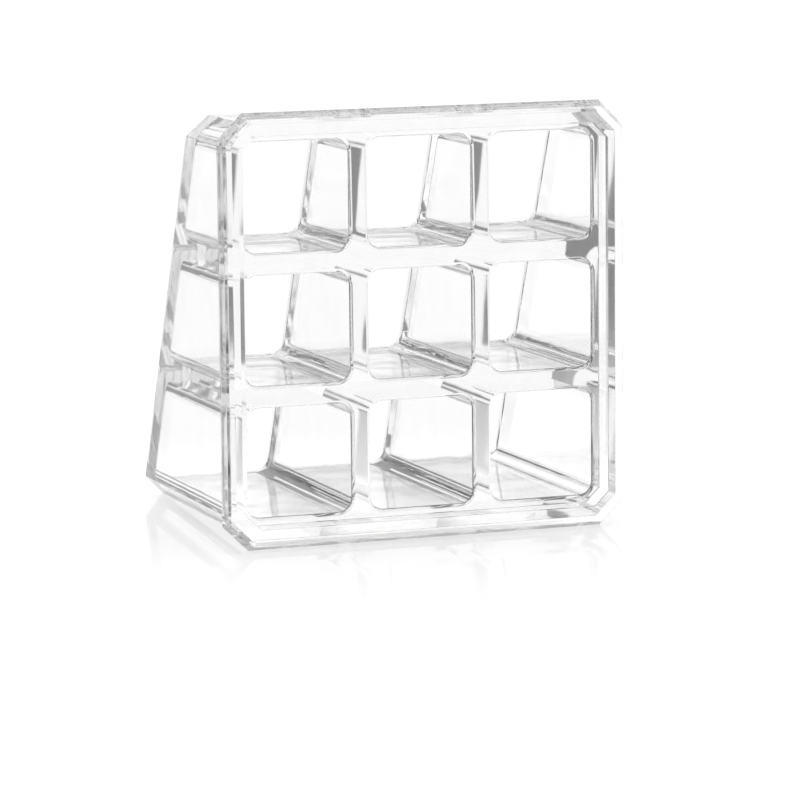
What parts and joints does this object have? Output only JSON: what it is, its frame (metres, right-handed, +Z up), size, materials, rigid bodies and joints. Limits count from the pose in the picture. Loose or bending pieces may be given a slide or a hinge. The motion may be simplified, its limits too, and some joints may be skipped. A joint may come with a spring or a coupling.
{
  "type": "lipstick holder",
  "caption": "Clear acrylic lipstick holder: a wedge-shaped rack of square open cells behind a bevelled eight-sided face frame.",
  "frame": {"origin": "centre of the footprint, on the table", "axes": "+Z up; the open front of the cells faces -Y and the slanted back faces +Y; +X to the right seen from the front"},
  "size_m": [0.095, 0.0696, 0.0957],
  "materials": {
    "clear_acrylic": "polished, clear, colourless"
  },
  "bodies": {
    "root": {"face_frame": "clear_acrylic", "left_wall": "clear_acrylic", "right_wall": "clear_acrylic", "top_wall": "clear_acrylic", "base_wall": "clear_acrylic", "upper_shelf": "clear_acrylic", "lower_shelf": "clear_acrylic", "top_left_divider": "clear_acrylic", "top_right_divider": "clear_acrylic", "middle_left_divider": "clear_acrylic", "middle_right_divider": "clear_acrylic", "bottom_left_divider": "clear_acrylic", "bottom_right_divider": "clear_acrylic", "back_panel": "clear_acrylic"}
  },
  "joints": []
}
